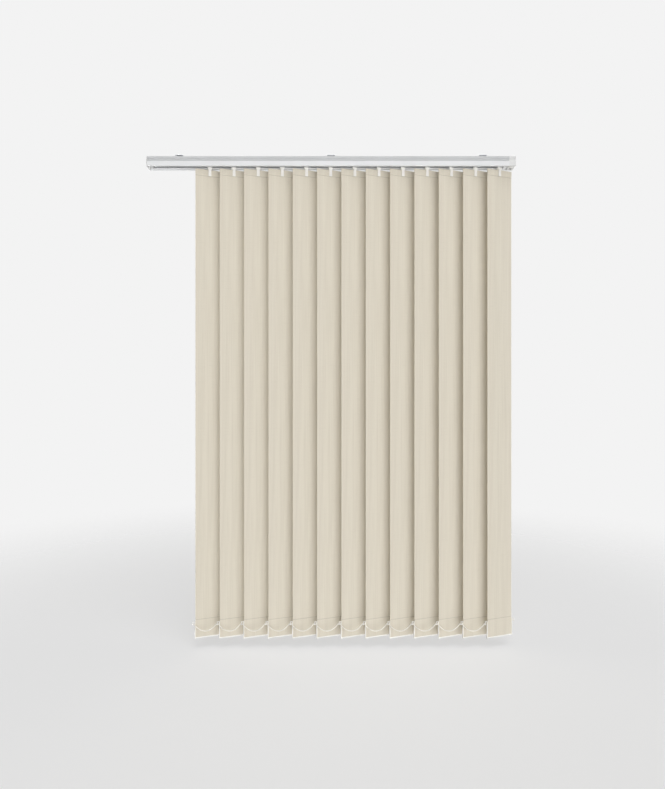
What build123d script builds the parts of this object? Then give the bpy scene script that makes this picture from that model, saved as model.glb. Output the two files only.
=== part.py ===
from build123d import *
import math
import os

# Vertical blind with a top-fixed headrail, thirteen fabric vanes and two bottom chains.
# Millimetres. X runs along the rail, -Y is the room side and +Z is up.
# The origin is the centre of the ceiling fixing, on the ceiling, above the middle of the rail.

# The blind as a whole
overall_length = 1152.0
vane_count = 13
carrier_pitch = 76.0
last_carrier_inset = 45.6
rest_tilt = 20.0
ceiling_gap = 6.0

# Headrail section
rail_height = 30.0
rail_wall = 1.4
bead_depth = 42.0
lip_depth = 40.8
web_depth = 36.4
recess_height = 14.2
bead_step = 1.6
bead_rounding = 1.3
bead_foot = 2.8
mouth_width = 16.0
mouth_height = 5.0
slot_width = 14.0
flange_lift = 2.8
guard_reach = 2.6

# Ceiling brackets
bracket_count = 3
bracket_end_inset = 101.0
bracket_length = 24.0
bracket_width = 34.0
bracket_sheet = 1.5
bracket_leg_gap = 9.0
bracket_foot = 4.6
screw_hole = 5.0

# Tilt rod and its gearing
rod_diameter = 6.0
rod_groove_width = 1.4
rod_groove_depth = 0.7
rod_groove_count = 4
rod_offset = 9.4
rod_rise = 11.0
running_gap = 0.05
free_gap = 0.35

# Carriers
carrier_length = 15.0
glide_height = 5.4
glide_gap = 0.12
glide_lead = 1.6
glide_side_gap = 0.8
guard_gap = 0.6
gear_case_wall = 2.6
gear_case_front = 5.6
slot_gap = 1.0
boss_drop = 1.0
bore_flat_count = 10
passage_flat_count = 6

# Vane hooks
stem_diameter = 5.0
stem_head = 6.4
stem_head_height = 1.6
neck_width = 15.0
neck_edge = 1.6
neck_height = 5.8
neck_gap = 0.4
neck_curve_across = 0.42
neck_curve_down = 0.62
leg_width = 8.4
leg_flare = 1.0
leg_thickness = 1.6
leg_bottom_drop = 19.6
leg_gap = 0.2
tooth_drop = 12.0
tooth_height = 2.2
tooth_width = 7.6
tooth_side_gap = 0.5

# Fabric vanes
vane_width = 89.0
vane_length = 1467.0
vane_top_gap = 6.3
fabric_thickness = 0.5
top_hem_height = 20.0
top_hem_thickness = 2.2
bottom_hem_height = 57.0
hem_taper = 6.0
pocket_gap = 0.15

# Bottom weights and their chain clips
weight_thickness = 1.6
weight_plate_height = 46.0
weight_end_height = 53.0
weight_end_length = 2.0
weight_end_thickness = 4.0
weight_end_gap = 0.2
weight_end_below = 1.0
weight_bar_gap = 0.2
clip_tongue_height = 16.0
clip_tongue_thickness = 1.2
clip_pin_reach = 5.8
clip_arm_width = 2.6
clip_arm_thickness = 1.5
clip_pin_diameter = 2.2
clip_pin_length = 7.4
pin_flat_count = 6
clip_head = 3.2
clip_head_thickness = 1.2

# Bottom chains
chain_diameter = 2.6
chain_bottom_radius = 30.3
chain_run_count = 6
chain_side_count = 4
eye_length = 8.0
eye_width = 5.0
eye_thickness = 2.4
eye_gap = 0.3

# End pieces
end_cap_thickness = 2.5
spigot_length = 12.0
spigot_gap = 0.25
rod_end_gap = 1.0
control_length = 20.0
cavity_width = 9.0
cavity_gap = 0.6
sprocket_diameter = 15.0
sprocket_width = 6.0
sprocket_pocket_count = 8
sprocket_pocket = 3.6
sprocket_pocket_depth = 1.6

# Levels and places worked out from the sizes above
rail_length = overall_length - end_cap_thickness - control_length
rail_left = -overall_length / 2 + end_cap_thickness
rail_right = rail_left + rail_length
rail_top = -ceiling_gap
rail_bottom = rail_top - rail_height
flange_under = rail_bottom + flange_lift
track_z = flange_under + rail_wall
floor_top = rail_top - mouth_height
floor_under = floor_top - rail_wall
bead_half = bead_depth / 2
lip_half = lip_depth / 2
web_half = web_depth / 2
bead_inside = bead_half - rail_wall
web_inside = web_half - rail_wall
lip_inside = lip_half - rail_wall
guard_inside = web_half - guard_reach
guard_under = track_z + glide_gap + glide_height + guard_gap
rod_radius = rod_diameter / 2
rod_z = track_z + rod_rise
last_carrier_x = overall_length / 2 - last_carrier_inset
carrier_xs = [last_carrier_x - carrier_pitch * (vane_count - 1 - i) for i in range(vane_count)]
boss_bottom = flange_under - boss_drop
case_top = rod_z + rod_radius + gear_case_wall
neck_top = boss_bottom - neck_gap
vane_top = rail_bottom - vane_top_gap
vane_bottom = vane_top - vane_length
fork_top = neck_top - neck_height - neck_edge
hem_fork_gap = top_hem_thickness / 2 + leg_gap
tooth_top = vane_top - tooth_drop
weight_bottom = vane_bottom - weight_end_below
weight_top = weight_bottom + weight_end_height
weight_outside = vane_width / 2 + weight_end_gap + weight_end_length
clip_pin_x = weight_outside + clip_pin_reach
clip_pin_bottom = weight_top - clip_arm_thickness - clip_pin_length
eye_z = clip_pin_bottom + eye_gap + eye_thickness / 2
join_depth = 0.4


def box(x0, x1, y0, y1, z0, z1):
    """A block between two corners."""
    middle = Pos((x0 + x1) / 2, (y0 + y1) / 2, (z0 + z1) / 2)
    return middle * Box(x1 - x0, y1 - y0, z1 - z0)


def upright(radius, z0, z1):
    """A round bar along Z between two levels."""
    return Pos(0, 0, (z0 + z1) / 2) * Cylinder(radius, z1 - z0)


def along_rail(radius, x0, x1):
    """A round bar on the tilt rod's axis between two places along the rail."""
    place = Pos((x0 + x1) / 2, rod_offset, rod_z) * Rot(0, 90, 0)
    return place * Cylinder(radius, x1 - x0)


def extrude_x(face, x0, x1):
    """A section drawn in Y and Z, carried from x0 to x1."""
    return Pos(x0, 0, 0) * extrude(Plane.YZ * face, amount=x1 - x0)


def closed_face(lines):
    """The face inside a closed run of lines and arcs."""
    return make_face(Curve() + lines)


def both_sides(half):
    """A half section and its mirror image across the middle of the rail."""
    return half + mirror(half, about=Plane.YZ)


def as_hung(piece):
    """A piece of a vane, turned from face-on to the tilt at which the blind is shown."""
    return Rot(0, 0, rest_tilt) * piece


# Headrail


def outer_half_outline():
    """Room-side outline of the rail, which the end pieces share."""
    shoulder = rail_top - recess_height
    return [
        (lip_half, rail_top),
        (lip_half, floor_under),
        (web_half, floor_under),
        (web_half, shoulder),
        (bead_half, shoulder - bead_step),
        (bead_half, rail_bottom),
    ]


def round_bead(half):
    """The same half section with the outer edges of its lower bead rounded."""
    edges = half.vertices().group_by(Axis.X)[-1]
    return fillet(edges, bead_rounding)


def headrail():
    """Extruded aluminium rail: clip channel above, recessed webs, round beads and a glide track."""
    inner_shoulder = rail_top - recess_height - rail_wall
    mouth = mouth_width / 2
    foot = bead_half - bead_foot
    outline = [(mouth, rail_top)]
    outline += outer_half_outline()
    outline += [
        (foot, rail_bottom),
        (foot, flange_under),
        (slot_width / 2, flange_under),
        (slot_width / 2, track_z),
        (bead_inside, track_z),
        (bead_inside, guard_under),
        (guard_inside, guard_under),
        (guard_inside, guard_under + rail_wall),
        (bead_inside, guard_under + rail_wall),
        (bead_inside, inner_shoulder - bead_step),
        (web_inside, inner_shoulder),
        (web_inside, floor_under),
        (0, floor_under),
        (0, floor_top),
        (lip_inside, floor_top),
        (lip_inside, rail_top - rail_wall),
        (mouth, rail_top - rail_wall),
    ]
    half = round_bead(make_face(Polyline(*outline, close=True)))
    return extrude_x(both_sides(half), rail_left, rail_right)


def brackets():
    """Sprung steel ceiling clips: a plate, two legs through the mouth and feet under its lips."""
    leg_in = bracket_leg_gap / 2
    leg_out = leg_in + bracket_sheet
    foot_top = rail_top - rail_wall
    foot_bottom = foot_top - bracket_sheet
    half = make_face(
        Polyline(
            (0, 0),
            (bracket_width / 2, 0),
            (bracket_width / 2, -bracket_sheet),
            (leg_out, -bracket_sheet),
            (leg_out, foot_top),
            (leg_out + bracket_foot, foot_top),
            (leg_out + bracket_foot, foot_bottom),
            (leg_in, foot_bottom),
            (leg_in, -bracket_sheet),
            (0, -bracket_sheet),
            close=True,
        )
    )
    clip = extrude_x(both_sides(half), -bracket_length / 2, bracket_length / 2)
    clip -= upright(screw_hole / 2, -2 * bracket_sheet, bracket_sheet)
    reach = overall_length / 2 - bracket_end_inset
    step = 2 * reach / (bracket_count - 1)
    return Compound([Pos(-reach + step * i, 0, 0) * clip for i in range(bracket_count)])


# End pieces


def end_outline():
    """The rail's outline filled in, for a moulded end piece."""
    half = make_face(Polyline((0, rail_top), *outer_half_outline(), (0, rail_bottom), close=True))
    return both_sides(round_bead(half))


def spigot(x0, x1):
    """Block of an end piece that plugs into the rail between its floor, track and guards."""
    half_width = guard_inside - spigot_gap
    return box(x0, x1, -half_width, half_width, track_z + spigot_gap, floor_under - spigot_gap)


def rod_bore(x0, x1):
    """Running bore for the tilt rod."""
    return along_rail(rod_radius + running_gap, x0, x1)


def end_cap():
    """Plug at the idle end, with a blind bearing bore for the rod."""
    outer = rail_left - end_cap_thickness
    cap = extrude_x(end_outline(), outer, rail_left)
    cap += spigot(rail_left - join_depth, rail_left + spigot_length)
    return cap - rod_bore(rail_left, rail_left + spigot_length + join_depth)


def sprocket_place():
    """Middle of the sprocket along the rail."""
    return rail_right + control_length / 2


def control_end():
    """Housing at the working end, hollowed for the sprocket and open below for a control loop."""
    body = extrude_x(end_outline(), rail_right, rail_right + control_length)
    body += spigot(rail_right - spigot_length, rail_right + join_depth)
    middle = sprocket_place()
    half_cavity = cavity_width / 2
    reach = sprocket_diameter / 2 + cavity_gap
    body -= rod_bore(rail_right - spigot_length - join_depth, middle)
    return body - box(
        middle - half_cavity,
        middle + half_cavity,
        rod_offset - reach,
        rod_offset + reach,
        rail_bottom - join_depth,
        rod_z + reach,
    )


# Tilt rod and sprocket


def rod_section(grow):
    """Grooved round section of the rod, or of a bore that it drives when grown by a fit."""
    section = Circle(rod_radius + grow)
    depth = rod_groove_depth
    for i in range(rod_groove_count):
        groove = Rectangle(2 * depth, rod_groove_width - 2 * grow)
        section -= Rot(0, 0, i * 360 / rod_groove_count) * Pos(rod_radius + grow, 0) * groove
    return section


def tilt_rod():
    """Grooved rod that turns every carrier's worm."""
    start = rail_left + rod_end_gap
    end = sprocket_place() + sprocket_width / 2
    rod = extrude(Plane.YZ * rod_section(0), amount=end - start)
    return Pos(start, rod_offset, rod_z) * rod


def drive_sprocket():
    """Wheel with pockets round its rim, driven by a control loop and keyed on the rod."""
    wheel = Circle(sprocket_diameter / 2)
    half = sprocket_pocket / 2
    for i in range(sprocket_pocket_count):
        pocket = Rectangle(2 * sprocket_pocket_depth, 2 * half)
        turn = Rot(0, 0, (i + 0.5) * 360 / sprocket_pocket_count)
        wheel -= turn * Pos(sprocket_diameter / 2, 0) * pocket
    wheel -= rod_section(running_gap)
    solid = extrude(Plane.YZ * wheel, amount=sprocket_width)
    return Pos(sprocket_place() - sprocket_width / 2, rod_offset, rod_z) * solid


# Carriers


def carrier():
    """Moulded truck at x = 0: a glide shoe in the track, a slot boss and a closed gear case."""
    half = carrier_length / 2
    shoe_half = bead_inside - glide_side_gap
    shoe_bottom = track_z + glide_gap
    shoe_top = shoe_bottom + glide_height
    lead = glide_lead
    profile = Polyline(
        (-half, shoe_bottom + lead),
        (-half + lead, shoe_bottom),
        (half - lead, shoe_bottom),
        (half, shoe_bottom + lead),
        (half, shoe_top - lead),
        (half - lead, shoe_top),
        (-half + lead, shoe_top),
        (-half, shoe_top - lead),
        close=True,
    )
    shoe = Pos(0, shoe_half, 0) * extrude(Plane.XZ * make_face(profile), amount=2 * shoe_half)
    boss_half = slot_width / 2 - slot_gap
    boss = box(-half + lead, half - lead, -boss_half, boss_half, boss_bottom, shoe_bottom + lead)
    back = rod_offset + rod_radius + gear_case_wall
    top = case_top
    front = -gear_case_front
    slope = gear_case_wall
    case_outline = Polyline(
        (front, shoe_top - lead),
        (back, shoe_top - lead),
        (back, top - slope),
        (back - slope, top),
        (rod_offset - rod_radius, top),
        (front, top - slope),
        close=True,
    )
    case = extrude_x(make_face(case_outline), -half + lead / 2, half - lead / 2)
    body = shoe + boss + case
    bore = RegularPolygon(stem_diameter / 2 + running_gap, bore_flat_count, major_radius=False)
    bore_height = top - boss_bottom + 2 * join_depth
    body -= Pos(0, 0, boss_bottom - join_depth) * extrude(bore, amount=bore_height)
    flats = RegularPolygon(rod_radius + free_gap, passage_flat_count, major_radius=False)
    passage = extrude(Plane.YZ * flats, amount=2 * carrier_length)
    return body - Pos(-carrier_length, rod_offset, rod_z) * passage


# Vane hooks


def hook():
    """Moulded hook at x = 0, face-on: square-headed stem, rounded neck and a fork with a tooth."""
    neck = neck_width / 2
    leg = leg_width / 2
    flare = (leg_width + leg_flare) / 2
    leg_bottom = vane_top - leg_bottom_drop
    shoulder = neck_top - neck_edge
    curve = (leg + neck_curve_across * (neck - leg), shoulder - neck_curve_down * neck_height)
    right = [
        Line((0, neck_top), (neck, neck_top)),
        Line((neck, neck_top), (neck, shoulder)),
        ThreePointArc((neck, shoulder), curve, (leg, fork_top)),
        Line((leg, fork_top), (flare, leg_bottom)),
        Line((flare, leg_bottom), (0, leg_bottom)),
        Line((0, leg_bottom), (0, neck_top)),
    ]
    outline = both_sides(closed_face(right))
    half_thickness = hem_fork_gap + leg_thickness
    body = Pos(0, half_thickness, 0) * extrude(Plane.XZ * outline, amount=2 * half_thickness)
    wide = neck_width
    slot_bottom = leg_bottom - join_depth
    body -= box(-wide, wide, -hem_fork_gap, hem_fork_gap, slot_bottom, vane_top + leg_gap)
    tooth = tooth_width / 2
    tooth_tip = hem_fork_gap - leg_gap
    body += box(-tooth, tooth, -hem_fork_gap, tooth_tip, tooth_top - tooth_height, tooth_top)
    head_z = case_top + neck_gap
    body += upright(stem_diameter / 2, neck_top - join_depth, head_z)
    head = stem_head / 2
    return body + box(-head, head, -head, head, head_z, head_z + stem_head_height)


# Fabric vanes


def vane():
    """Fabric vane at x = 0, face-on: one sheet, a stiffened top hem and an open-ended bottom pocket."""
    sheet = fabric_thickness / 2
    top_half = top_hem_thickness / 2
    top_weld = vane_top - top_hem_height
    inner = weight_thickness / 2 + pocket_gap
    outer = inner + fabric_thickness
    bottom_weld = vane_bottom + bottom_hem_height
    outside = Polyline(
        (0, vane_bottom),
        (inner, vane_bottom),
        (outer, vane_bottom + fabric_thickness),
        (outer, bottom_weld - hem_taper),
        (fabric_thickness, bottom_weld),
        (sheet, bottom_weld),
        (sheet, top_weld),
        (top_half, top_weld),
        (top_half, vane_top - sheet),
        (sheet, vane_top),
        (0, vane_top),
        close=True,
    )
    pocket = Polyline(
        (0, vane_bottom + fabric_thickness),
        (inner, vane_bottom + fabric_thickness),
        (inner, bottom_weld - hem_taper),
        (0, bottom_weld - fabric_thickness),
        close=True,
    )
    section = both_sides(make_face(outside) - make_face(pocket))
    body = extrude_x(section, -vane_width / 2, vane_width / 2)
    slot = tooth_width / 2 + tooth_side_gap
    slot_bottom = tooth_top - tooth_height - leg_gap
    return body - box(-slot, slot, -top_hem_thickness, top_hem_thickness, slot_bottom, tooth_top)


# Bottom weights


def chain_clip():
    """Tongue, arm, pin and small head that hold the chain's eye, at a weight's right end."""
    tongue_half = clip_tongue_thickness / 2
    inside = weight_outside - weight_end_length
    tongue_bottom = weight_top - clip_tongue_height - join_depth
    tongue = box(inside, weight_outside, -tongue_half, tongue_half, tongue_bottom, weight_top)
    arm_half = clip_arm_width / 2
    arm_bottom = weight_top - clip_arm_thickness
    arm = box(inside, clip_pin_x + arm_half, -arm_half, arm_half, arm_bottom, weight_top)
    pin_section = RegularPolygon(clip_pin_diameter / 2, pin_flat_count)
    pin = Pos(clip_pin_x, 0, clip_pin_bottom) * extrude(pin_section, amount=clip_pin_length)
    head = clip_head / 2
    head_bottom = clip_pin_bottom - clip_head_thickness
    knob = box(clip_pin_x - head, clip_pin_x + head, -head, head, head_bottom, clip_pin_bottom)
    return tongue + arm + pin + knob


def weight():
    """Bottom weight at x = 0, face-on: plate in the pocket, a bar below the fold and two ends."""
    plate_half = weight_thickness / 2
    end_half = weight_end_thickness / 2
    plate_bottom = vane_bottom + fabric_thickness + pocket_gap
    plate_top = plate_bottom + weight_plate_height
    inside = weight_outside - weight_end_length
    body = box(-inside, inside, -plate_half, plate_half, plate_bottom, plate_top)
    bar_top = vane_bottom - weight_bar_gap
    bar_half = plate_half + fabric_thickness
    body += box(-inside, inside, -bar_half, bar_half, weight_bottom, bar_top)
    end_top = weight_top - clip_tongue_height
    body += box(inside, weight_outside, -end_half, end_half, weight_bottom, end_top)
    body += box(-weight_outside, -inside, -end_half, end_half, weight_bottom, end_top)
    clip = chain_clip()
    return body + clip + mirror(clip, about=Plane.YZ)


# Bottom chains


def chain_span():
    """One loop from an eye at x = 0 to the next, in short equal runs along its catenary."""
    half_chord = carrier_pitch / 2 - eye_length / 2 + join_depth
    steepness = half_chord / chain_bottom_radius
    half_length = chain_bottom_radius * math.sinh(steepness)
    points = []
    for i in range(chain_run_count + 1):
        along = half_length * (2 * i / chain_run_count - 1)
        x = chain_bottom_radius * math.asinh(along / chain_bottom_radius)
        drop = math.cosh(steepness) - math.cosh(x / chain_bottom_radius)
        points.append((carrier_pitch / 2 + x, 0, -chain_bottom_radius * drop))
    path = Polyline(*points)
    section = Plane(origin=path @ 0, z_dir=path % 0) * RegularPolygon(chain_diameter / 2, chain_side_count)
    return sweep(section, path=path, transition=Transition.RIGHT)


def chain_eye():
    """Flat link with a hole for a clip's pin, at x = 0."""
    link = Box(eye_length, eye_width, eye_thickness)
    hole = extrude(RegularPolygon(clip_pin_diameter / 2 + eye_gap, pin_flat_count), amount=eye_thickness)
    return link - Pos(0, 0, -eye_thickness / 2) * hole


def bottom_chain(side):
    """Whole chain along the room side (-1) or the window side (1) of the vanes."""
    offset = Vector(side * clip_pin_x, 0, 0).rotate(Axis.Z, rest_tilt)
    eye = chain_eye()
    span = chain_span()
    pieces = [Pos(carrier_pitch * i, 0, 0) * eye for i in range(vane_count)]
    pieces += [Pos(carrier_pitch * i, 0, 0) * span for i in range(vane_count - 1)]
    chain = pieces[0].fuse(*pieces[1:])
    return Pos(carrier_xs[0] + offset.X, offset.Y, eye_z) * chain


os.makedirs("parts", exist_ok=True)
nodes = {
    "headrail": headrail(),
    "brackets": brackets(),
    "end_cap": end_cap(),
    "control_end": control_end(),
    "tilt_rod": tilt_rod(),
    "drive_sprocket": drive_sprocket(),
    "front_chain": bottom_chain(-1),
    "back_chain": bottom_chain(1),
}
one_carrier = carrier()
hung = {"hook": as_hung(hook()), "vane": as_hung(vane()), "weight": as_hung(weight())}
for number, x in enumerate(carrier_xs, start=1):
    nodes[f"carrier_{number:02d}"] = Pos(x, 0, 0) * one_carrier
    for name, piece in hung.items():
        nodes[f"{name}_{number:02d}"] = Pos(x, 0, 0) * piece
for name, shape in nodes.items():
    export_step(shape, f"parts/{name}.step")
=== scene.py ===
import math
import random

import bmesh
import bpy
from bpy.props import (
    FloatProperty,
    FloatVectorProperty,
    IntProperty,
    PointerProperty,
)
from mathutils import Matrix, Vector


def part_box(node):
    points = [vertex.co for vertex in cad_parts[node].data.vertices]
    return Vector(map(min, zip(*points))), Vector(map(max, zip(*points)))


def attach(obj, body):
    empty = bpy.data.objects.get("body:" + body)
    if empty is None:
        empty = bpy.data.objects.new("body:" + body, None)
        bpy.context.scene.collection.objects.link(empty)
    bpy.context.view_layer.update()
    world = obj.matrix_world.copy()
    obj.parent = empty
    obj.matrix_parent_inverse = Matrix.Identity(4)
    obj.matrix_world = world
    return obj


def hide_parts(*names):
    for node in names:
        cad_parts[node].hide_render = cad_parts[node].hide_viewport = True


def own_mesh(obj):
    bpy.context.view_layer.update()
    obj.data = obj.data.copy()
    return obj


bl_info = {
    "name": "Vertical Blind",
    "version": (1, 0, 0),
    "blender": (4, 5, 0),
    "location": "View3D > Sidebar > Blind",
    "description": "Makes the rail, hooks, fabric vanes, weights and bottom chains of a vertical blind",
    "category": "Object",
}

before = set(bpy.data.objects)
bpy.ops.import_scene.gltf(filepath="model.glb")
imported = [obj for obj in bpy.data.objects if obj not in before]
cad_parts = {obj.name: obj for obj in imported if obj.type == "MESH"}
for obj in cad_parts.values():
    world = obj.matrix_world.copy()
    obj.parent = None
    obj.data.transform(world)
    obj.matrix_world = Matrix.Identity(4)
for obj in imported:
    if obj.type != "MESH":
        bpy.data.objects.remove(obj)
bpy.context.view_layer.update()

VANES = range(1, 14)
REST_TILT = math.radians(20)
VANE_BOTTOM, VANE_TOP = (corner.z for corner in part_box("vane_01"))
WEIGHT_BOTTOM, WEIGHT_TOP = (corner.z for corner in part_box("weight_01"))
SLOT_TOP = VANE_TOP - 0.012
SLOT_BOTTOM = VANE_TOP - 0.0144
SLOT_HALF = 0.0043
FOLD_DROP = 0.0011
WELD_DEPTH = 0.00012
# Lowest level of the painted shade on the rail's outside, just above its lower bead.
PAINTED_SHADE_BOTTOM = -0.0204
PIN_REACH = 0.0525
LINK_REACH = 0.0040
EYE_Z = WEIGHT_TOP - 0.0074
CHAIN_BOTTOM_RADIUS = 0.0303


def srgb(red, green, blue):
    """A colour given in 0 to 255 steps, as the linear values that Blender holds."""
    steps = [value / 255 for value in (red, green, blue)]
    return tuple(
        s / 12.92 if s <= 0.04045 else ((s + 0.055) / 1.055) ** 2.4 for s in steps
    )


# Settings


class BlindFabricSettings(bpy.types.PropertyGroup):
    width: FloatProperty(
        name="Vane width",
        description="Width of each fabric vane",
        default=0.089,
        min=0.02,
        unit="LENGTH",
    )
    thickness: FloatProperty(
        name="Cloth thickness",
        description="Thickness of the woven cloth",
        default=0.0005,
        min=0.0001,
        unit="LENGTH",
    )
    top_hem: FloatProperty(
        name="Top hem",
        description="Height of the stiffened hem at the top",
        default=0.020,
        unit="LENGTH",
    )
    bottom_hem: FloatProperty(
        name="Bottom hem",
        description="Height of the pocket that holds the weight",
        default=0.057,
        unit="LENGTH",
    )
    bar_shown: FloatProperty(
        name="Bar shown",
        description="How far the weight's bar reaches below the fold of the cloth",
        default=0.0026,
        unit="LENGTH",
    )
    bow: FloatProperty(
        name="Bow",
        description="How far the cloth bows between its edges",
        default=0.0006,
        unit="LENGTH",
    )
    seed: IntProperty(
        name="Seed",
        description="Seed of the small differences between vanes",
        default=4,
    )
    light_yarn: FloatVectorProperty(
        name="Light yarn",
        description="Colour of the lighter yarn",
        subtype="COLOR",
        size=3,
        min=0,
        max=1,
        default=srgb(225, 218, 202),
    )
    dark_yarn: FloatVectorProperty(
        name="Dark yarn",
        description="Colour of the darker yarn",
        subtype="COLOR",
        size=3,
        min=0,
        max=1,
        default=srgb(213, 205, 189),
    )


class BlindMouldingSettings(bpy.types.PropertyGroup):
    edge: FloatProperty(
        name="Edge rounding",
        description="Rounding of moulded edges",
        default=0.00035,
        unit="LENGTH",
    )
    white: FloatVectorProperty(
        name="White plastic",
        description="Colour of the hooks and weights",
        subtype="COLOR",
        size=3,
        min=0,
        max=1,
        default=srgb(250, 248, 243),
    )
    ends: FloatVectorProperty(
        name="End plastic",
        description="Colour of the rail's end pieces",
        subtype="COLOR",
        size=3,
        min=0,
        max=1,
        default=srgb(229, 229, 228),
    )
    grey: FloatVectorProperty(
        name="Grey plastic",
        description="Colour of the carriers and the sprocket",
        subtype="COLOR",
        size=3,
        min=0,
        max=1,
        default=srgb(214, 215, 216),
    )
    coating: FloatVectorProperty(
        name="Rail coating",
        description="Colour of the coated rail",
        subtype="COLOR",
        size=3,
        min=0,
        max=1,
        default=srgb(235, 236, 237),
    )
    # Painted shade: a darker colour that stands in for shade on the rail's outside above its lower
    # bead.
    painted_shade_band: FloatVectorProperty(
        name="Rail band",
        description="Colour of the rail above its lower bead",
        subtype="COLOR",
        size=3,
        min=0,
        max=1,
        default=srgb(205, 206, 207),
    )
    steel: FloatVectorProperty(
        name="Clip steel",
        description="Colour of the zinc plated ceiling clips",
        subtype="COLOR",
        size=3,
        min=0,
        max=1,
        default=srgb(226, 228, 230),
    )
    rod: FloatVectorProperty(
        name="Rod aluminium",
        description="Colour of the bare rod in the rail",
        subtype="COLOR",
        size=3,
        min=0,
        max=1,
        default=srgb(214, 216, 219),
    )


class BlindChainSettings(bpy.types.PropertyGroup):
    bead: FloatProperty(
        name="Bead diameter",
        description="Diameter of the chain's beads",
        default=0.0036,
        unit="LENGTH",
    )
    spacing: FloatProperty(
        name="Bead spacing",
        description="Distance from bead to bead along the chain",
        default=0.0038,
        unit="LENGTH",
    )
    core: FloatProperty(
        name="Core diameter",
        description="Diameter of the thread between the beads",
        default=0.0018,
        unit="LENGTH",
    )
    colour: FloatVectorProperty(
        name="Chain colour",
        description="Colour of the chain",
        subtype="COLOR",
        size=3,
        min=0,
        max=1,
        default=srgb(253, 249, 240),
    )


class BlindStageSettings(bpy.types.PropertyGroup):
    backdrop: FloatVectorProperty(
        name="Backdrop",
        description="Colour behind and below the blind",
        subtype="COLOR",
        size=3,
        min=0,
        max=1,
        default=srgb(243, 243, 243),
    )
    floor_return: FloatProperty(
        name="Floor return",
        description="Share of the floor's own colour with which it lights the blind",
        default=0.25,
    )
    fill: FloatProperty(
        name="Fill", description="Strength of the even light all round", default=0.12
    )
    key: FloatProperty(
        name="Key", description="Strength of the broad soft lamp", default=0.92
    )
    key_spread: FloatProperty(
        name="Key spread",
        description="Width of the broad soft lamp as seen from the blind",
        subtype="ANGLE",
        default=math.radians(104),
    )
    top: FloatProperty(
        name="Top lamp", description="Strength of the lamp overhead", default=1.06
    )
    top_spread: FloatProperty(
        name="Top lamp spread",
        description="Width of the lamp overhead as seen from the blind",
        subtype="ANGLE",
        default=math.radians(36),
    )
    low: FloatProperty(
        name="Low lamp", description="Strength of the lamp from below", default=1.6
    )
    low_spread: FloatProperty(
        name="Low lamp spread",
        description="Width of the lamp from below as seen from the blind",
        subtype="ANGLE",
        default=math.radians(76),
    )
    back: FloatProperty(
        name="Back lamp", description="Strength of the lamp behind the blind", default=1.5
    )
    back_spread: FloatProperty(
        name="Back lamp spread",
        description="Width of the lamp behind the blind as seen from it",
        subtype="ANGLE",
        default=math.radians(96),
    )


# Meshes


def mesh_piece(name, points, faces):
    """A new mesh object from points in metres."""
    mesh = bpy.data.meshes.new(name)
    mesh.from_pydata(points, [], faces)
    mesh.update()
    piece = bpy.data.objects.new(name, mesh)
    bpy.context.scene.collection.objects.link(piece)
    return piece


def add_modifier(piece, kind, **values):
    modifier = piece.modifiers.new(kind.title(), kind)
    for name, value in values.items():
        setattr(modifier, name, value)
    return modifier


def bake_modifiers(piece):
    """Turns a piece and its modifiers into a plain mesh."""
    graph = bpy.context.evaluated_depsgraph_get()
    graph.update()
    mesh = bpy.data.meshes.new_from_object(
        piece.evaluated_get(graph), preserve_all_data_layers=True, depsgraph=graph
    )
    piece.modifiers.clear()
    old = piece.data
    piece.data = mesh
    mesh.name = piece.name
    bpy.data.meshes.remove(old)
    return piece


def smooth(piece, angle=40):
    piece.data.shade_smooth()
    piece.data.set_sharp_from_angle(angle=math.radians(angle))
    return piece


def drop_normals(mesh):
    """Removes the imported normals, so that new edges are shaded afresh."""
    stored = mesh.attributes.get("custom_normal")
    if stored:
        mesh.attributes.remove(stored)


def arc(across, up, radius, start, sweep, steps):
    """Points of an arc about a centre in one plane."""
    angles = [start + sweep * i / steps for i in range(steps + 1)]
    return [(across + radius * math.cos(a), up + radius * math.sin(a)) for a in angles]


def softened_copy(node, name, edge, segments=2, limit=28):
    """A CAD node's shape as one joined mesh with small rounded edges."""
    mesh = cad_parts[node].data.copy()
    mesh.name = name
    mesh.materials.clear()
    shape = bmesh.new()
    shape.from_mesh(mesh)
    bmesh.ops.remove_doubles(shape, verts=shape.verts, dist=1e-6)
    bmesh.ops.dissolve_limit(
        shape,
        angle_limit=math.radians(0.5),
        verts=shape.verts,
        edges=shape.edges,
    )
    shape.to_mesh(mesh)
    shape.free()
    drop_normals(mesh)
    piece = bpy.data.objects.new(name, mesh)
    bpy.context.scene.collection.objects.link(piece)
    mesh.shade_smooth()
    add_modifier(
        piece,
        "BEVEL",
        width=edge,
        segments=segments,
        limit_method="ANGLE",
        angle_limit=math.radians(limit),
        use_clamp_overlap=True,
        harden_normals=True,
    )
    return bake_modifiers(piece)


def settle(piece, body, material, slot, *nodes):
    """Gives a finished piece its material and its body, and hides the nodes it stands for. The slot for
    its finish is not used.
    """
    piece.data.materials.clear()
    piece.data.materials.append(material)
    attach(piece, body)
    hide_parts(*nodes)
    return piece


def axis_x(number):
    """Where a vane's turning axis is along the rail."""
    low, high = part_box(f"carrier_{number:02d}")
    return (low.x + high.x) / 2


def as_hung(piece, number):
    """Carries a piece made face-on at x = 0 to its vane's place and tilt."""
    piece.data.transform(
        Matrix.Translation((axis_x(number), 0, 0)) @ Matrix.Rotation(REST_TILT, 4, "Z")
    )
    return piece


# Shader parts


def new_group(name, inputs, outputs):
    """A shader node group with named float or vector sockets."""
    group = bpy.data.node_groups.new(name, "ShaderNodeTree")
    for label, kind, value in inputs:
        socket = group.interface.new_socket(label, in_out="INPUT", socket_type=kind)
        if value is not None:
            socket.default_value = value
    for label, kind in outputs:
        group.interface.new_socket(label, in_out="OUTPUT", socket_type=kind)
    return group, group.nodes.new("NodeGroupInput"), group.nodes.new("NodeGroupOutput")


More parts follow.
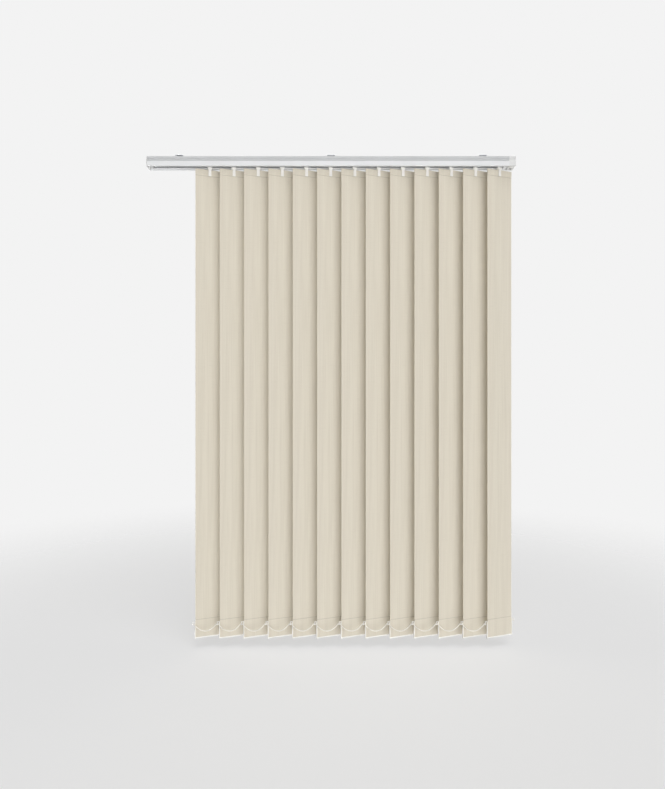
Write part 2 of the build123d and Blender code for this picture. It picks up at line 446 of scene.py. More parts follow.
class Wiring:
    """Short ways to add and join nodes in one tree."""

    def __init__(self, tree):
        self.tree = tree

    def put(self, socket, value):
        if isinstance(value, bpy.types.NodeSocket):
            self.tree.links.new(value, socket)
        elif value is not None:
            socket.default_value = value

    def node(self, kind, sockets=None, **values):
        made = self.tree.nodes.new(kind)
        for name, value in values.items():
            setattr(made, name, value)
        for name, value in (sockets or {}).items():
            self.put(made.inputs[name], value)
        return made

    def math(self, operation, a, b=None, c=None):
        made = self.node("ShaderNodeMath", operation=operation)
        for socket, value in zip(made.inputs, (a, b, c)):
            self.put(socket, value)
        return made.outputs[0]

    def mix(self, factor, a, b):
        made = self.node("ShaderNodeMix", data_type="RGBA")
        self.put(made.inputs[0], factor)
        self.put(made.inputs[6], (*a, 1) if isinstance(a, tuple) else a)
        self.put(made.inputs[7], (*b, 1) if isinstance(b, tuple) else b)
        return made.outputs[2]

    def ramp(self, value, low, high, to_low=0.0, to_high=1.0):
        made = self.node(
            "ShaderNodeMapRange",
            {
                "Value": value,
                "From Min": low,
                "From Max": high,
                "To Min": to_low,
                "To Max": to_high,
            },
            interpolation_type="SMOOTHSTEP",
        )
        return made.outputs["Result"]

    def noise(self, vector, scale, detail=2.0, roughness=0.5):
        made = self.node(
            "ShaderNodeTexNoise",
            {
                "Vector": vector,
                "Scale": scale,
                "Detail": detail,
                "Roughness": roughness,
            },
        )
        return made.outputs["Fac"]

    def stretched(self, vector, scale):
        made = self.node("ShaderNodeMapping", {"Vector": vector, "Scale": scale})
        return made.outputs["Vector"]


def grain_group():
    """Fine surface grain: its height, and a slow drift of tone."""
    group, given, made = new_group(
        "surface_grain",
        [
            ("Vector", "NodeSocketVector", None),
            ("Fine", "NodeSocketFloat", 900.0),
            ("Broad", "NodeSocketFloat", 14.0),
        ],
        [("Height", "NodeSocketFloat"), ("Drift", "NodeSocketFloat")],
    )
    w = Wiring(group)
    fine = w.noise(given.outputs["Vector"], given.outputs["Fine"], 3.0, 0.6)
    w.put(made.inputs["Height"], fine)
    broad = w.noise(given.outputs["Vector"], given.outputs["Broad"], 4.0, 0.55)
    w.put(made.inputs["Drift"], w.ramp(broad, 0.3, 0.7))
    return group


def weave_group():
    """Plain weave with slubs, from a flat cloth's own metres across and along."""
    group, given, made = new_group(
        "slub_weave",
        [
            ("Across", "NodeSocketFloat", None),
            ("Along", "NodeSocketFloat", None),
            ("Warp", "NodeSocketFloat", 1500.0),
            ("Weft", "NodeSocketFloat", 1300.0),
        ],
        [("Height", "NodeSocketFloat"), ("Tone", "NodeSocketFloat")],
    )
    w = Wiring(group)
    across, along = given.outputs["Across"], given.outputs["Along"]
    place = w.node(
        "ShaderNodeCombineXYZ", {"X": across, "Y": along, "Z": 0.0}
    ).outputs[0]
    wander = w.math(
        "MULTIPLY", w.noise(w.stretched(place, (60, 60, 1)), 1.0, 2.0), 1.6
    )
    warp = w.math("MULTIPLY", across, given.outputs["Warp"])
    warp = w.math("SINE", w.math("MULTIPLY", w.math("ADD", warp, wander), math.pi))
    weft = w.math("MULTIPLY", along, given.outputs["Weft"])
    weft = w.math("SINE", w.math("MULTIPLY", w.math("ADD", weft, wander), math.pi))
    over = w.math("MULTIPLY", warp, weft)
    threads = w.math("MULTIPLY_ADD", over, 0.5, 0.5)
    long_streak = w.noise(w.stretched(place, (260, 5, 1)), 1.0, 3.0, 0.6)
    wide_streak = w.noise(w.stretched(place, (70, 1.6, 1)), 1.0, 2.0, 0.5)
    slub = w.noise(w.stretched(place, (26, 520, 1)), 1.0, 2.0, 0.5)
    slub = w.ramp(slub, 0.52, 0.78)
    height = w.math("MULTIPLY_ADD", slub, 0.5, threads)
    w.put(
        made.inputs["Height"], w.math("MULTIPLY_ADD", long_streak, 0.5, height)
    )
    tone = w.math("MULTIPLY_ADD", long_streak, 0.55, w.math("MULTIPLY", wide_streak, 0.5))
    tone = w.math("MULTIPLY_ADD", slub, -0.12, tone)
    tone = w.math("MULTIPLY_ADD", threads, 0.12, tone)
    w.put(made.inputs["Tone"], w.ramp(tone, 0.25, 0.9))
    return group


def line_group():
    """A thin soft line where a value passes a place."""
    group, given, made = new_group(
        "pressed_line",
        [
            ("Value", "NodeSocketFloat", None),
            ("Place", "NodeSocketFloat", 0.0),
            ("Half width", "NodeSocketFloat", 0.0008),
        ],
        [("Mask", "NodeSocketFloat")],
    )
    w = Wiring(group)
    away = w.math(
        "ABSOLUTE",
        w.math("SUBTRACT", given.outputs["Value"], given.outputs["Place"]),
    )
    share = w.math("DIVIDE", away, given.outputs["Half width"])
    w.put(made.inputs["Mask"], w.ramp(share, 1.0, 0.2))
    return group


GROUPS = {}


def group_node(w, name, sockets):
    makers = {
        "surface_grain": grain_group,
        "slub_weave": weave_group,
        "pressed_line": line_group,
    }
    if name not in GROUPS:
        GROUPS[name] = makers[name]()
    made = w.node("ShaderNodeGroup", node_tree=GROUPS[name])
    for label, value in sockets.items():
        w.put(made.inputs[label], value)
    return made.outputs


def new_material(name):
    """An empty material: its wiring, its shader and its object coordinates."""
    material = bpy.data.materials.new(name)
    material.use_nodes = True
    tree = material.node_tree
    shader = tree.nodes["Principled BSDF"]
    w = Wiring(tree)
    place = w.node("ShaderNodeTexCoord").outputs["Object"]
    return material, w, shader, place


def kept(name, maker, *values):
    """A material by name, made the first time it is asked for."""
    return bpy.data.materials.get(name) or maker(name, *values)


def plastic(name, colour, roughness, fine=1600.0, depth=0.00002, shade=0.93):
    """Moulded plastic with a fine spark-eroded grain and a slow drift of tone."""
    material, w, shader, place = new_material(name)
    grain = group_node(
        w, "surface_grain", {"Vector": place, "Fine": fine, "Broad": 40.0}
    )
    darker = tuple(c * shade for c in colour)
    w.put(shader.inputs["Base Color"], w.mix(grain["Drift"], darker, tuple(colour)))
    w.put(
        shader.inputs["Roughness"],
        w.ramp(grain["Height"], 0.3, 0.7, roughness - 0.06, roughness + 0.08),
    )
    bump = w.node(
        "ShaderNodeBump",
        {"Height": grain["Height"], "Strength": 0.35, "Distance": depth},
    )
    w.put(shader.inputs["Normal"], bump.outputs[0])
    shader.inputs["IOR"].default_value = 1.49
    return material


def coated_aluminium(name, colour, painted_shade_colour):
    """White powder coat with a slight orange peel, with painted shade making it greyer outside above
    the lower bead.
    """
    face, blur = 0.0176, 0.0002
    material, w, shader, place = new_material(name)
    grain = group_node(
        w, "surface_grain", {"Vector": place, "Fine": 520.0, "Broad": 9.0}
    )
    split = w.node("ShaderNodeSeparateXYZ", {"Vector": place}).outputs
    # Painted shade: the outside faces above the lower bead take the darker colour, standing in for
    # shade on the rail's upper part.
    above = w.ramp(split["Z"], PAINTED_SHADE_BOTTOM, PAINTED_SHADE_BOTTOM + 2 * blur)
    outside = w.ramp(w.math("ABSOLUTE", split["Y"]), face - blur, face + blur)
    painted_shade_band = w.math("MULTIPLY", above, outside)
    toned = w.mix(painted_shade_band, tuple(colour), tuple(painted_shade_colour))
    darker = w.mix(0.045, toned, (0.0, 0.0, 0.0))
    w.put(shader.inputs["Base Color"], w.mix(grain["Drift"], darker, toned))
    w.put(
        shader.inputs["Roughness"], w.ramp(grain["Drift"], 0.0, 1.0, 0.3, 0.4)
    )
    bump = w.node(
        "ShaderNodeBump",
        {"Height": grain["Height"], "Strength": 0.25, "Distance": 0.00005},
    )
    w.put(shader.inputs["Normal"], bump.outputs[0])
    shader.inputs["Coat Weight"].default_value = 0.2
    shader.inputs["Coat Roughness"].default_value = 0.25
    return material


def drawn_metal(name, colour, roughness, stretch):
    """Bare metal with draw lines along the rail."""
    material, w, shader, place = new_material(name)
    lines = w.noise(w.stretched(place, stretch), 1.0, 4.0, 0.65)
    darker = tuple(c * 0.82 for c in colour)
    w.put(
        shader.inputs["Base Color"],
        w.mix(w.ramp(lines, 0.3, 0.7), darker, tuple(colour)),
    )
    w.put(
        shader.inputs["Roughness"],
        w.ramp(lines, 0.25, 0.75, roughness - 0.08, roughness + 0.1),
    )
    bump = w.node(
        "ShaderNodeBump", {"Height": lines, "Strength": 0.3, "Distance": 0.00003}
    )
    w.put(shader.inputs["Normal"], bump.outputs[0])
    shader.inputs["Metallic"].default_value = 1.0
    return material


def cloth(name, settings, lines):
    """Cream woven cloth with welded lines, mapped in metres of its flat cut."""
    material, w, shader, _ = new_material(name)
    flat = w.node("ShaderNodeUVMap", uv_map="flat_cut").outputs[0]
    split = w.node("ShaderNodeSeparateXYZ", {"Vector": flat})
    across, along = split.outputs["X"], split.outputs["Y"]
    weave = group_node(w, "slub_weave", {"Across": across, "Along": along})
    base = w.mix(weave["Tone"], tuple(settings.dark_yarn), tuple(settings.light_yarn))
    weld_half, rim_outer, rim_inner = 0.0011, 0.0003, 0.0012
    press = None
    for line in lines:
        mask = group_node(
            w, "pressed_line", {"Value": along, "Place": line, "Half width": weld_half}
        )["Mask"]
        press = mask if press is None else w.math("MAXIMUM", press, mask)
    welded = tuple(c * 0.62 for c in settings.dark_yarn)
    base = w.mix(w.math("MULTIPLY", press, 0.6), base, welded)
    half = settings.width / 2
    rim = w.math("ABSOLUTE", w.math("SUBTRACT", across, half))
    rim = w.ramp(rim, half - rim_inner, half - rim_outer)
    cut = tuple(min(1.0, c * 1.08) for c in settings.light_yarn)
    base = w.mix(w.math("MULTIPLY", rim, 0.5), base, cut)
    w.put(shader.inputs["Base Color"], base)
    w.put(shader.inputs["Roughness"], w.ramp(weave["Tone"], 0.0, 1.0, 0.92, 0.8))
    height = w.math("MULTIPLY_ADD", press, -1.2, weave["Height"])
    bump = w.node(
        "ShaderNodeBump", {"Height": height, "Strength": 0.55, "Distance": 0.00012}
    )
    w.put(shader.inputs["Normal"], bump.outputs[0])
    shader.inputs["Sheen Weight"].default_value = 0.12
    shader.inputs["Sheen Roughness"].default_value = 0.6
    shader.inputs["Specular IOR Level"].default_value = 0.25
    return material


def white_plastic(scene):
    return kept("white_acetal", plastic, scene.blind_moulding.white, 0.38)


def grey_plastic(scene):
    return kept("grey_nylon", plastic, scene.blind_moulding.grey, 0.46)


def end_plastic(scene):
    return kept("pale_end_plastic", plastic, scene.blind_moulding.ends, 0.42)


# Rail and its fittings


class BLIND_OT_rail(bpy.types.Operator):
    """Makes the coated rail, its end pieces, the ceiling clips, the rod and the sprocket"""

    bl_idname = "blind.rail"
    bl_label = "Make rail"

    def execute(self, context):
        scene = context.scene
        settings = scene.blind_moulding
        edge = settings.edge
        coating = kept(
            "white_powder_coat", coated_aluminium, settings.coating, settings.painted_shade_band
        )
        steel = kept(
            "zinc_plated_steel", drawn_metal, settings.steel, 0.42, (60, 900, 900)
        )
        bright = kept(
            "bright_aluminium", drawn_metal, settings.rod, 0.27, (8, 2400, 2400)
        )
        ends = end_plastic(scene)
        grey = grey_plastic(scene)
        plan = [
            ("headrail", "rail_extrusion", 0.00022, "root", coating, "rail_finish"),
            ("end_cap", "idle_end_plug", edge * 1.4, "root", ends, "moulded_white"),
            ("control_end", "control_housing", edge * 1.4, "root", ends, "moulded_white"),
            ("brackets", "ceiling_clips", 0.0002, "root", steel, "bracket_steel"),
            ("tilt_rod", "grooved_rod", 0.00008, "tilt_rod", bright, "rod_aluminium"),
            ("drive_sprocket", "loop_sprocket", 0.0002, "tilt_rod", grey, "moulded_grey"),
        ]
        for node, name, rounding, body, material, slot in plan:
            piece = softened_copy(node, name, rounding)
            settle(piece, body, material, slot, node)
        return {"FINISHED"}


class BLIND_OT_carriers(bpy.types.Operator):
    """Makes the carriers that run in the rail"""

    bl_idname = "blind.carriers"
    bl_label = "Make carriers"

    def execute(self, context):
        scene = context.scene
        grey = grey_plastic(scene)
        for number in VANES:
            node = f"carrier_{number:02d}"
            body = "root" if number == VANES[-1] else f"truck_{number:02d}"
            piece = softened_copy(
                node, f"glide_truck_{number:02d}", scene.blind_moulding.edge * 0.8
            )
            settle(piece, body, grey, "moulded_grey", node)
        return {"FINISHED"}


class BLIND_OT_hooks(bpy.types.Operator):
    """Makes the white hooks that hold the vanes"""

    bl_idname = "blind.hooks"
    bl_label = "Make hooks"

    def execute(self, context):
        scene = context.scene
        white = white_plastic(scene)
        for number in VANES:
            node = f"hook_{number:02d}"
            piece = softened_copy(
                node, f"vane_hook_{number:02d}", scene.blind_moulding.edge, 3
            )
            settle(piece, f"blade_{number:02d}", white, "moulded_white", node)
        return {"FINISHED"}


def pin_link(shape, reach):
    """A small rounded link round a clip's pin, where the chain starts."""
    outer, inner, half, around = 0.0030, 0.0012, 0.0011, 16
    rounds = [(1.0, -0.55), (1.0, 0.55), (0.84, 1.0), (0.0, 1.0), (0.0, -1.0), (0.84, -1.0)]
    rings = []
    for share, level in rounds:
        radius = inner + (outer - inner) * share
        circle = arc(reach, 0.0, radius, 0.0, math.tau, around)[:-1]
        rings.append([shape.verts.new((x, y, EYE_Z + half * level)) for x, y in circle])
    for a, b in zip(rings, rings[1:] + rings[:1]):
        for i in range(around):
            j = (i + 1) % around
            shape.faces.new((a[i], a[j], b[j], b[i])).smooth = True


def weight_bar(shape, settings):
    """The rounded bar that a weight shows below the fold of the cloth."""
    half, end, rounding, steps = 0.0013, 0.0446, 0.0006, 4
    gap_to_cloth = 0.0002
    high = VANE_BOTTOM + settings.bar_shown - gap_to_cloth
    middle = WEIGHT_BOTTOM + rounding
    outline = [(half, high), (-half, high)]
    outline += arc(rounding - half, middle, rounding, math.pi, math.pi / 2, steps)
    outline += arc(half - rounding, middle, rounding, 1.5 * math.pi, math.pi / 2, steps)
    rings = [[shape.verts.new((x, y, z)) for y, z in outline] for x in (-end, end)]
    count = len(outline)
    for i in range(count):
        j = (i + 1) % count
        shape.faces.new((rings[0][i], rings[0][j], rings[1][j], rings[1][i]))
    for ring in rings:
        shape.faces.new(ring)


def add_weight_details(piece, number, settings):
    """Joins the bar and the two links to a weight."""
    shape = bmesh.new()
    weight_bar(shape, settings)
    for reach in (-PIN_REACH, PIN_REACH):
        pin_link(shape, reach)
    bmesh.ops.recalc_face_normals(shape, faces=shape.faces)
    details = mesh_piece("details", [], [])
    shape.to_mesh(details.data)
    shape.free()
    as_hung(details, number)
    joined = bmesh.new()
    joined.from_mesh(piece.data)
    joined.from_mesh(details.data)
    joined.to_mesh(piece.data)
    joined.free()
    bpy.data.meshes.remove(details.data)


class BLIND_OT_weights(bpy.types.Operator):
    """Makes the bottom weights with their ends and chain clips"""

    bl_idname = "blind.weights"
    bl_label = "Make weights"

    def execute(self, context):
        scene = context.scene
        white = white_plastic(scene)
        for number in VANES:
            node = f"weight_{number:02d}"
            piece = softened_copy(
                node, f"vane_weight_{number:02d}", scene.blind_moulding.edge
            )
            add_weight_details(piece, number, scene.blind_fabric)
            settle(piece, f"blade_{number:02d}", white, "moulded_white", node)
        return {"FINISHED"}


# Fabric vanes


def weld_levels(settings):
    """Heights of the two weld lines across a vane."""
    return VANE_TOP - settings.top_hem, VANE_BOTTOM + settings.bottom_hem


def cloth_path(settings):
    """The cloth's own path down one vane, in metres: flap, top fold, face, pocket and flap."""
    t = settings.thickness
    weld_top, weld_bottom = weld_levels(settings)
    hem, pocket, corner, lip = 0.00085, 0.0012, 0.0008, 0.0012
    hem_levels = [weld_top + 0.0036, SLOT_BOTTOM, SLOT_TOP, VANE_TOP - 0.006]
    pocket_levels = [weld_bottom - 0.0068, weld_bottom - 0.02, weld_bottom - 0.04]
    pocket_mouth = weld_bottom - 0.0014
    path = [(t, weld_top), (t, weld_top + lip)]
    path += [(hem, z) for z in hem_levels]
    path += arc(0.0, VANE_TOP - FOLD_DROP, hem, 0.0, math.pi, 6)
    path += [(-hem, z) for z in reversed(hem_levels)]
    path += [(-0.0001, weld_top + lip), (WELD_DEPTH, weld_top), (0.0, weld_top - lip)]
    start, end, rows = weld_top - 0.004, weld_bottom + 0.004, 44
    path += [(0.0, start + (end - start) * i / rows) for i in range(rows + 1)]
    path += [(0.0, weld_bottom + lip), (WELD_DEPTH, weld_bottom), (-0.0002, pocket_mouth)]
    path += [(-pocket, z) for z in pocket_levels]
    middle = VANE_BOTTOM + settings.bar_shown + t / 2 + corner
    path += arc(corner - pocket, middle, corner, math.pi, math.pi / 2, 4)
    path += arc(pocket - corner, middle, corner, 1.5 * math.pi, math.pi / 2, 4)
    path += [(pocket, z) for z in reversed(pocket_levels)]
    path += [(0.00062, pocket_mouth), (t, weld_bottom)]
    return path


def vane_cloth(number, settings, rng):
    """One vane as the strip it is cut from, folded at both ends, with its UV in flat metres."""
    path = cloth_path(settings)
    width = settings.width
    strips = 12
    columns = sorted(
        [width * (i / strips - 0.5) for i in range(strips + 1)] + [-SLOT_HALF, SLOT_HALF]
    )
    lengths = [0.0]
    for a, b in zip(path, path[1:]):
        lengths.append(lengths[-1] + math.dist(a, b))
    held_above, held_below, ease = 0.02, 0.95, 12
    ripple_depth, ripple_turn, most_lean = 0.00012, 9, 0.0001
    phase = rng.uniform(0, math.tau)
    lean = rng.uniform(-most_lean, most_lean)
    points = []
    for y, z in path:
        share = (VANE_TOP - z) / (VANE_TOP - VANE_BOTTOM)
        free = min(1.0, max(0.0, (share - held_above) * ease))
        free *= min(1.0, max(0.0, (held_below - share) * ease))
        for x in columns:
            across = 2 * x / width
            cup = settings.bow * (1 - across * across)
            ripple = ripple_depth * math.sin(phase + share * ripple_turn)
            points.append((x, y + free * (cup + (ripple + lean) * across), z))
    count = len(columns)
    faces = []
    for r in range(len(path) - 1):
        middle_z = (path[r][1] + path[r + 1][1]) / 2
        for c in range(count - 1):
            middle_x = (columns[c] + columns[c + 1]) / 2
            if SLOT_BOTTOM < middle_z < SLOT_TOP and abs(middle_x) < SLOT_HALF:
                continue
            a = r * count + c
            faces.append((a, a + 1, a + count + 1, a + count))
    piece = mesh_piece(f"vane_fabric_{number:02d}", points, faces)
    layer = piece.data.uv_layers.new(name="flat_cut")
    for loop in piece.data.loops:
        r, c = divmod(loop.vertex_index, count)
        layer.data[loop.index].uv = (columns[c] + width / 2, lengths[r])
    return piece, lengths[-1]


def weld_places(settings):
    """Distances along the flat cut at which the welds and the flap ends lie."""
    path = cloth_path(settings)
    welds = [(WELD_DEPTH, level) for level in weld_levels(settings)]
    edge = 0.0008
    places = [edge]
    along = 0.0
    for a, b in zip(path, path[1:]):
        along += math.dist(a, b)
        if b in welds:
            places.append(along)
    return [*places, along - edge]


def hanger_card(number):
    """The stiff card inside a top hem, with its punched slot."""
    half, thick, clear = 0.0435, 0.00055, 0.0003
    slot_half = SLOT_HALF + clear
    xs = [-half, -slot_half, slot_half, half]
    zs = [VANE_TOP - 0.0163, SLOT_BOTTOM - clear, SLOT_TOP + clear, VANE_TOP - FOLD_DROP]
    shape = bmesh.new()
    grid = [[shape.verts.new((x, thick, z)) for x in xs] for z in zs]
    for r in range(3):
        for c in range(3):
            if (r, c) != (1, 1):
                shape.faces.new(
                    (grid[r][c], grid[r][c + 1], grid[r + 1][c + 1], grid[r + 1][c])
                )
    mesh = bpy.data.meshes.new(f"hanger_card_{number:02d}")
    shape.to_mesh(mesh)
    shape.free()
    piece = bpy.data.objects.new(mesh.name, mesh)
    bpy.context.scene.collection.objects.link(piece)
    add_modifier(piece, "SOLIDIFY", thickness=2 * thick, offset=1.0)
    return bake_modifiers(piece)


class BLIND_OT_vanes(bpy.types.Operator):
    """Makes the fabric vanes and the cards in their top hems"""

    bl_idname = "blind.vanes"
    bl_label = "Make vanes"

    def execute(self, context):
        scene = context.scene
        settings = scene.blind_fabric
        rng = random.Random(settings.seed)
        fabric = kept("cream_slub_cloth", cloth, settings, weld_places(settings))
        card_white = white_plastic(scene)
        for number in VANES:
            body = f"blade_{number:02d}"
            piece, length = vane_cloth(number, settings, rng)
            add_modifier(
                piece,
                "SOLIDIFY",
                thickness=settings.thickness,
                offset=0.0,
                use_even_offset=True,
            )
            bake_modifiers(piece)
            smooth(as_hung(piece, number), 35)
            settle(piece, body, fabric, "vane_fabric", f"vane_{number:02d}")
            card = as_hung(hanger_card(number), number)
            card.data.materials.append(card_white)
            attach(card, body)
        return {"FINISHED"}


# Bottom chains


def chain_nodes():
    """Geometry nodes that string round beads on a thread along a path of edges."""
    tree = bpy.data.node_groups.new("beaded_chain", "GeometryNodeTree")
    tree.interface.new_socket(
        "Path", in_out="INPUT", socket_type="NodeSocketGeometry"
    )
    for label in ("Bead Diameter", "Bead Spacing", "Thread Diameter"):
        tree.interface.new_socket(label, in_out="INPUT", socket_type="NodeSocketFloat")
    tree.interface.new_socket(
        "Material", in_out="INPUT", socket_type="NodeSocketMaterial"
    )
    tree.interface.new_socket(
        "Chain", in_out="OUTPUT", socket_type="NodeSocketGeometry"
    )
    w = Wiring(tree)
    given = w.node("NodeGroupInput").outputs
    line = w.node("GeometryNodeMeshToCurve", {"Mesh": given["Path"]}).outputs[0]
    bead_radius = w.math("DIVIDE", given["Bead Diameter"], 2.0)
    thread_radius = w.math("DIVIDE", given["Thread Diameter"], 2.0)
    places = w.node(
        "GeometryNodeResampleCurve",
        {"Curve": line, "Length": given["Bead Spacing"]},
        mode="LENGTH",
    ).outputs[0]
    bead = w.node(
        "GeometryNodeMeshUVSphere",
        {"Segments": 10, "Rings": 6, "Radius": bead_radius},
    ).outputs["Mesh"]
    beads = w.node(
        "GeometryNodeInstanceOnPoints", {"Points": places, "Instance": bead}
    ).outputs[0]
    circle = w.node(
        "GeometryNodeCurvePrimitiveCircle", {"Resolution": 6, "Radius": thread_radius}
    ).outputs["Curve"]
    thread = w.node(
        "GeometryNodeCurveToMesh",
        {"Curve": line, "Profile Curve": circle, "Fill Caps": True},
    ).outputs[0]
    joined = w.node("GeometryNodeJoinGeometry")
    tree.links.new(beads, joined.inputs[0])
    tree.links.new(thread, joined.inputs[0])
    real = w.node(
        "GeometryNodeRealizeInstances", {"Geometry": joined.outputs[0]}
    ).outputs[0]
    shaded = w.node(
        "GeometryNodeSetShadeSmooth", {"Geometry": real}
    ).outputs[0]
    finished = w.node(
        "GeometryNodeSetMaterial",
        {"Geometry": shaded, "Material": given["Material"]},
    ).outputs[0]
    out = w.node("NodeGroupOutput")
    tree.links.new(finished, out.inputs[0])
    return tree


def chain_path(places):
    """Points and edges of the hanging loops between the clips' pins, a little clear of the cloth."""
    clear, clear_run = 0.0011, 0.003
    outward = math.copysign(clear, places[0].y)
    points, edges = [], []
    steps = 28
    for a, b in zip(places, places[1:]):
        chord = (b - a).length - 2 * LINK_REACH
        half = chord / 2
        radius = CHAIN_BOTTOM_RADIUS
        steep = half / radius
        length = radius * math.sinh(steep)
        first = len(points)
        for i in range(steps + 1):
            along = length * (2 * i / steps - 1)
            x = radius * math.asinh(along / radius)
            drop = radius * (math.cosh(steep) - math.cosh(x / radius))
            off = min(1.0, (half - abs(x)) / clear_run) * outward
            points.append(((a.x + b.x) / 2 + x, a.y + off, a.z - drop))
        edges += [(first + i, first + i + 1) for i in range(steps)]
    return points, edges


class BLIND_OT_chains(bpy.types.Operator):
    """Makes the beaded chains that link the bottom weights"""

    bl_idname = "blind.chains"
    bl_label = "Make chains"

    def execute(self, context):
        settings = context.scene.blind_chain
        white = kept("white_chain_plastic", plastic, settings.colour, 0.34)
        tree = chain_nodes()
        sides = [
            ("room_side_chain", "front_chain", -PIN_REACH),
            ("window_side_chain", "back_chain", PIN_REACH),
        ]
        for name, node, reach in sides:
            offset = Matrix.Rotation(REST_TILT, 3, "Z") @ Vector((reach, 0, 0))
            places = [
                Vector((axis_x(n) + offset.x, offset.y, EYE_Z)) for n in VANES
            ]
            points, edges = chain_path(places)
            mesh = bpy.data.meshes.new(name)
            mesh.from_pydata(points, edges, [])
            piece = bpy.data.objects.new(name, mesh)
            context.scene.collection.objects.link(piece)
            modifier = piece.modifiers.new("Beads", "NODES")
            modifier.node_group = tree
            values = {
                "Bead Diameter": settings.bead,
                "Bead Spacing": settings.spacing,
                "Thread Diameter": settings.core,
                "Material": white,
            }
            for item in tree.interface.items_tree:
                if item.in_out == "INPUT" and item.name in values:
                    modifier[item.identifier] = values[item.name]
            bake_modifiers(piece)
            settle(piece, node, white, "chain_white", node)
            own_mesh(piece)
        return {"FINISHED"}


# Stage


def broad_lamp(name, azimuth, elevation, spread, strength):
    """A lamp far away and so wide that it lights the whole blind softly and evenly."""
    data = bpy.data.lights.new(name, "SUN")
    data.angle = spread
    data.energy = strength
    data.cycles.use_multiple_importance_sampling = False
    lamp = bpy.data.objects.new(name, data)
    distance = 3
    a, e = math.radians(azimuth), math.radians(elevation)
    towards = Vector(
        (math.sin(a) * math.cos(e), -math.cos(a) * math.cos(e), math.sin(e))
    )
    lamp.rotation_euler = (-towards).to_track_quat("-Z", "Y").to_euler()
    lamp.location = towards * distance
    bpy.context.scene.collection.objects.link(lamp)
    return lamp


def stage_world(settings):
    """An even pale surround that lights the blind at its own strength."""
    world = bpy.data.worlds.new("pale_surround")
    world.use_nodes = True
    tree = world.node_tree
    w = Wiring(tree)
    shown = tree.nodes["Background"]
    shown.inputs["Color"].default_value = (*settings.backdrop, 1)
    shown.inputs["Strength"].default_value = 1.0
    light = w.node("ShaderNodeBackground", {"Color": (1, 1, 1, 1), "Strength": settings.fill})
    path = w.node("ShaderNodeLightPath").outputs
    seen = w.math("MAXIMUM", path["Is Camera Ray"], path["Is Glossy Ray"])
    seen = w.math("MAXIMUM", seen, path["Is Transmission Ray"])
    mixed = w.node("ShaderNodeMixShader", {0: seen, 1: light.outputs[0], 2: shown.outputs[0]})
    tree.links.new(mixed.outputs[0], tree.nodes["World Output"].inputs[0])
    bpy.context.scene.world = world


def stage_floor(settings):
    """A round pale floor below the blind that keeps a soft shadow and fades into the backdrop."""
    radius, level, around = 3.2, -1.545, 64
    fade_start, fade_end, own_glow = 0.9, 2.8, 0.62
    points = [(0, 0, level)]
    points += [
        (
            radius * math.cos(math.tau * i / around),
            radius * math.sin(math.tau * i / around),
            level,
        )
        for i in range(around)
    ]
    faces = [(0, i + 1, (i + 1) % around + 1) for i in range(around)]
    floor = mesh_piece("pale_floor", points, faces)
    material, w, shader, place = new_material("pale_floor_paint")
    shader.inputs["Roughness"].default_value = 0.9
    shader.inputs["Specular IOR Level"].default_value = 0.1
    path = w.node("ShaderNodeLightPath").outputs
    seen = w.math("MAXIMUM", path["Is Camera Ray"], path["Is Glossy Ray"])
    seen = w.math("MAXIMUM", seen, path["Is Transmission Ray"])
    returned = tuple(c * settings.floor_return for c in settings.backdrop)
    w.put(shader.inputs["Base Color"], w.mix(seen, returned, tuple(settings.backdrop)))
    glow = w.node("ShaderNodeEmission", {"Color": (*settings.backdrop, 1), "Strength": 1.0})
    paint = w.node(
        "ShaderNodeMixShader",
        {
            0: w.math("MULTIPLY", seen, own_glow),
            1: shader.outputs[0],
            2: glow.outputs[0],
        },
    )
    away = w.node("ShaderNodeVectorMath", {0: place}, operation="MULTIPLY")
    away.inputs[1].default_value = (1, 1, 0)
    reach = w.node("ShaderNodeVectorMath", {0: away.outputs[0]}, operation="LENGTH")
    fade = w.ramp(reach.outputs["Value"], fade_start, fade_end)
    clear = w.node("ShaderNodeBsdfTransparent")
    mixed = w.node("ShaderNodeMixShader", {0: fade, 1: paint.outputs[0], 2: clear.outputs[0]})
    output = material.node_tree.nodes["Material Output"]
    material.node_tree.links.new(mixed.outputs[0], output.inputs[0])
    floor.data.materials.append(material)
    floor.visible_shadow = False


def front_camera(scene):
    """A camera straight in front of the blind, at the middle of its height."""
    aside, distance, height = 0.0047, 1.9, -0.7487
    data = bpy.data.cameras.new("front_view")
    data.lens = 27.53
    data.sensor_width = 36
    data.sensor_fit = "AUTO"
    camera = bpy.data.objects.new("front_view", data)
    camera.location = (aside, -distance, height)
    camera.rotation_euler = (math.radians(90), 0, 0)
    scene.collection.objects.link(camera)
    scene.camera = camera


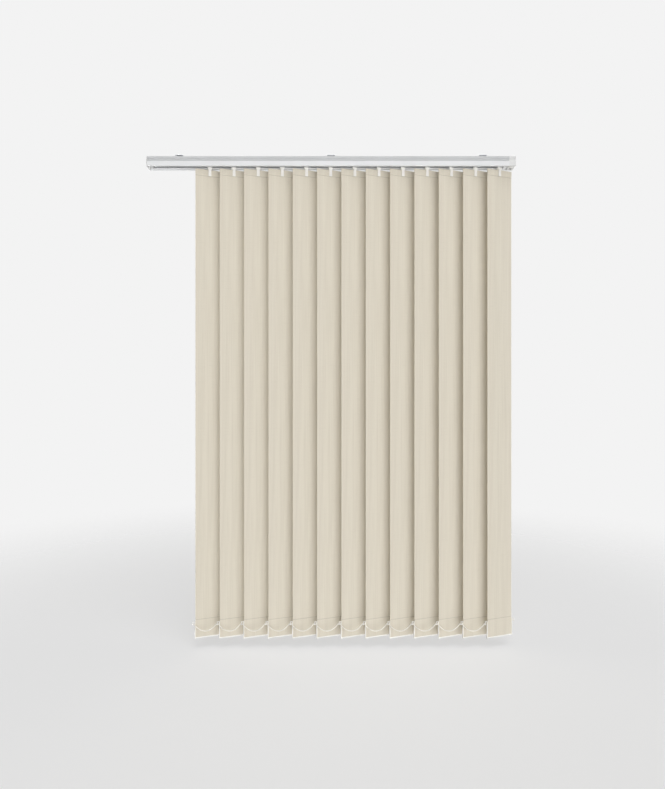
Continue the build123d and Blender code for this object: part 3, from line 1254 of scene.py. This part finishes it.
class BLIND_OT_stage(bpy.types.Operator):
    """Sets the pale floor, the soft lamps and the camera"""

    bl_idname = "blind.stage"
    bl_label = "Set stage"

    def execute(self, context):
        settings = context.scene.blind_stage
        context.scene.view_settings.view_transform = "Standard"
        stage_world(settings)
        stage_floor(settings)
        lamps = [
            ("key_lamp", 24, 4, settings.key_spread, settings.key),
            ("top_lamp", 16, 66, settings.top_spread, settings.top),
            ("low_lamp", 16, -34, settings.low_spread, settings.low),
            ("back_lamp", 200, -14, settings.back_spread, settings.back),
        ]
        for name, azimuth, elevation, spread, strength in lamps:
            broad_lamp(name, azimuth, elevation, spread, strength)
        front_camera(context.scene)
        return {"FINISHED"}


class BLIND_PT_panel(bpy.types.Panel):
    """Lists the steps that make the blind"""

    bl_idname = "BLIND_PT_panel"
    bl_label = "Vertical Blind"
    bl_space_type = "VIEW_3D"
    bl_region_type = "UI"
    bl_category = "Blind"

    def draw(self, context):
        for operator in STEPS:
            self.layout.operator(operator.bl_idname)
        for name in SETTINGS:
            group = getattr(context.scene, name)
            box = self.layout.box()
            for label in group.__annotations__:
                box.prop(group, label)


SETTINGS = {
    "blind_fabric": BlindFabricSettings,
    "blind_moulding": BlindMouldingSettings,
    "blind_chain": BlindChainSettings,
    "blind_stage": BlindStageSettings,
}
STEPS = (
    BLIND_OT_stage,
    BLIND_OT_rail,
    BLIND_OT_carriers,
    BLIND_OT_hooks,
    BLIND_OT_vanes,
    BLIND_OT_weights,
    BLIND_OT_chains,
)


def register():
    for made in (*SETTINGS.values(), *STEPS, BLIND_PT_panel):
        bpy.utils.register_class(made)
    for name, group in SETTINGS.items():
        setattr(bpy.types.Scene, name, PointerProperty(type=group))


def unregister():
    for name in SETTINGS:
        delattr(bpy.types.Scene, name)
    for made in (BLIND_PT_panel, *reversed(STEPS), *SETTINGS.values()):
        bpy.utils.unregister_class(made)


def main():
    register()
    bpy.ops.blind.stage()
    bpy.ops.blind.rail()
    bpy.ops.blind.carriers()
    bpy.ops.blind.hooks()
    bpy.ops.blind.vanes()
    bpy.ops.blind.weights()
    bpy.ops.blind.chains()


if __name__ == "__main__":
    main()
